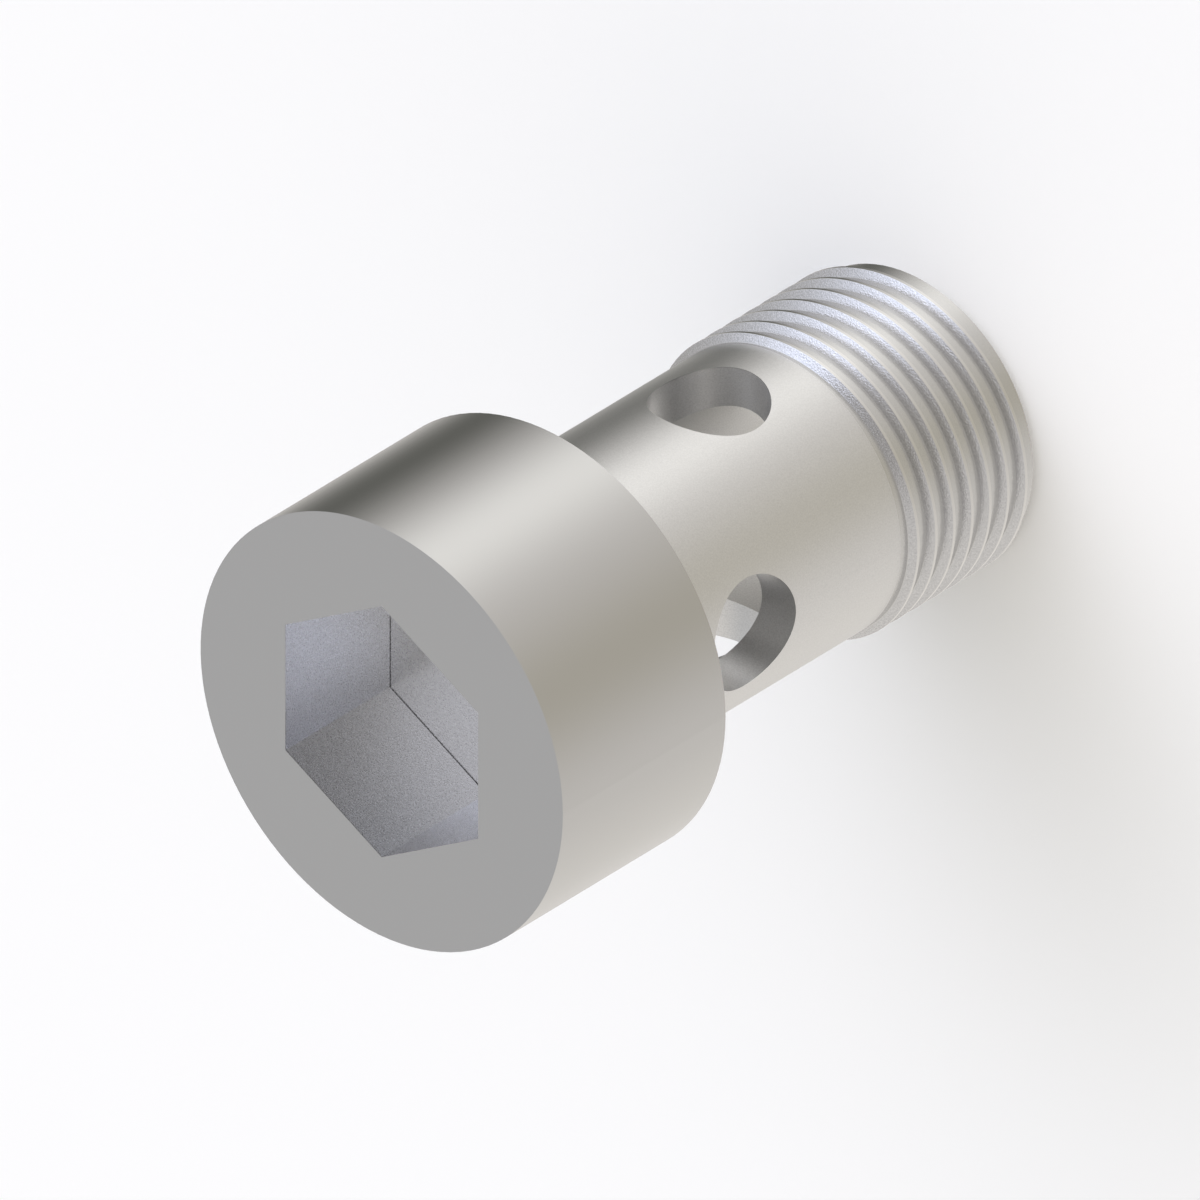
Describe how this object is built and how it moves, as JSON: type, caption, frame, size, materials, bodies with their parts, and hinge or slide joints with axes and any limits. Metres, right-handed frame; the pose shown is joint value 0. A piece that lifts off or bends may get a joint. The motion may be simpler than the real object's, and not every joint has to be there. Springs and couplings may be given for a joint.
{
  "type": "banjo bolt",
  "caption": "Hollow steel banjo bolt with a tall round head, a hexagon socket, a plain shank with crossed flow holes and a fine-threaded open end.",
  "frame": {"origin": "centre of the end face of the threaded tip, on which the bolt stands", "axes": "+Z along the bolt from the open threaded tip to the head; +X and +Y along the upper and the lower cross hole, and +X square to two flats of the socket"},
  "size_m": [0.0234, 0.0234, 0.0394],
  "materials": {
    "steel": "satin, fine grain"
  },
  "bodies": {
    "root": {"banjo_bolt": "steel"}
  },
  "joints": []
}
